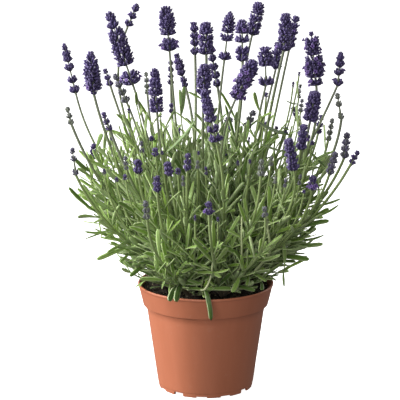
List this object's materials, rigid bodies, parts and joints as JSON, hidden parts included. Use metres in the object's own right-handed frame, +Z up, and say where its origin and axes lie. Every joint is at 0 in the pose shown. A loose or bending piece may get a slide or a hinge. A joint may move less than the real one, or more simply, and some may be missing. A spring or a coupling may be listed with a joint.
{
  "type": "potted lavender",
  "caption": "Lavender in bloom in a plain round plastic nursery pot, with violet flower spikes on bare stems over a dense mound of narrow grey-green leaves.",
  "frame": {"origin": "on the pot's axis, in the plane of the foot ring that the pot stands on", "axes": "+Z up along the pot's axis, -Y towards the front, +X to the right seen from the front"},
  "size_m": [0.262, 0.2311, 0.337],
  "materials": {
    "pot_plastic": "satin",
    "peat": "matte",
    "foliage": "matte",
    "flowers": "matte"
  },
  "bodies": {
    "root": {"pot": "pot_plastic", "soil": "peat", "branch_1": "foliage", "branch_2": "foliage", "branch_3": "foliage", "branch_4": "foliage", "branch_5": "foliage", "branch_6": "foliage", "branch_7": "foliage", "spike_01": "flowers", "spike_02": "flowers", "spike_03": "flowers", "spike_04": "flowers", "spike_05": "flowers", "spike_06": "flowers", "spike_07": "flowers", "spike_08": "flowers", "spike_09": "flowers", "spike_10": "flowers", "spike_11": "flowers", "spike_12": "flowers", "spike_13": "flowers", "spike_14": "flowers", "spike_15": "flowers", "spike_16": "flowers", "spike_17": "flowers", "spike_18": "flowers", "spike_19": "flowers", "spike_20": "flowers", "spike_21": "flowers", "spike_22": "flowers", "spike_23": "flowers", "spike_24": "flowers", "spike_25": "flowers", "spike_26": "flowers", "spike_27": "flowers", "spike_28": "flowers", "spike_29": "flowers", "spike_30": "flowers", "spike_31": "flowers", "spike_32": "flowers", "spike_33": "flowers", "spike_34": "flowers", "spike_35": "flowers", "spike_36": "flowers", "spike_37": "flowers", "spike_38": "flowers", "spike_39": "flowers", "spike_40": "flowers", "spike_41": "flowers", "spike_42": "flowers", "spike_43": "flowers", "spike_44": "flowers", "spike_45": "flowers", "spike_46": "flowers", "spike_47": "flowers", "spike_48": "flowers", "spike_49": "flowers", "spike_50": "flowers", "spike_51": "flowers"}
  },
  "joints": []
}
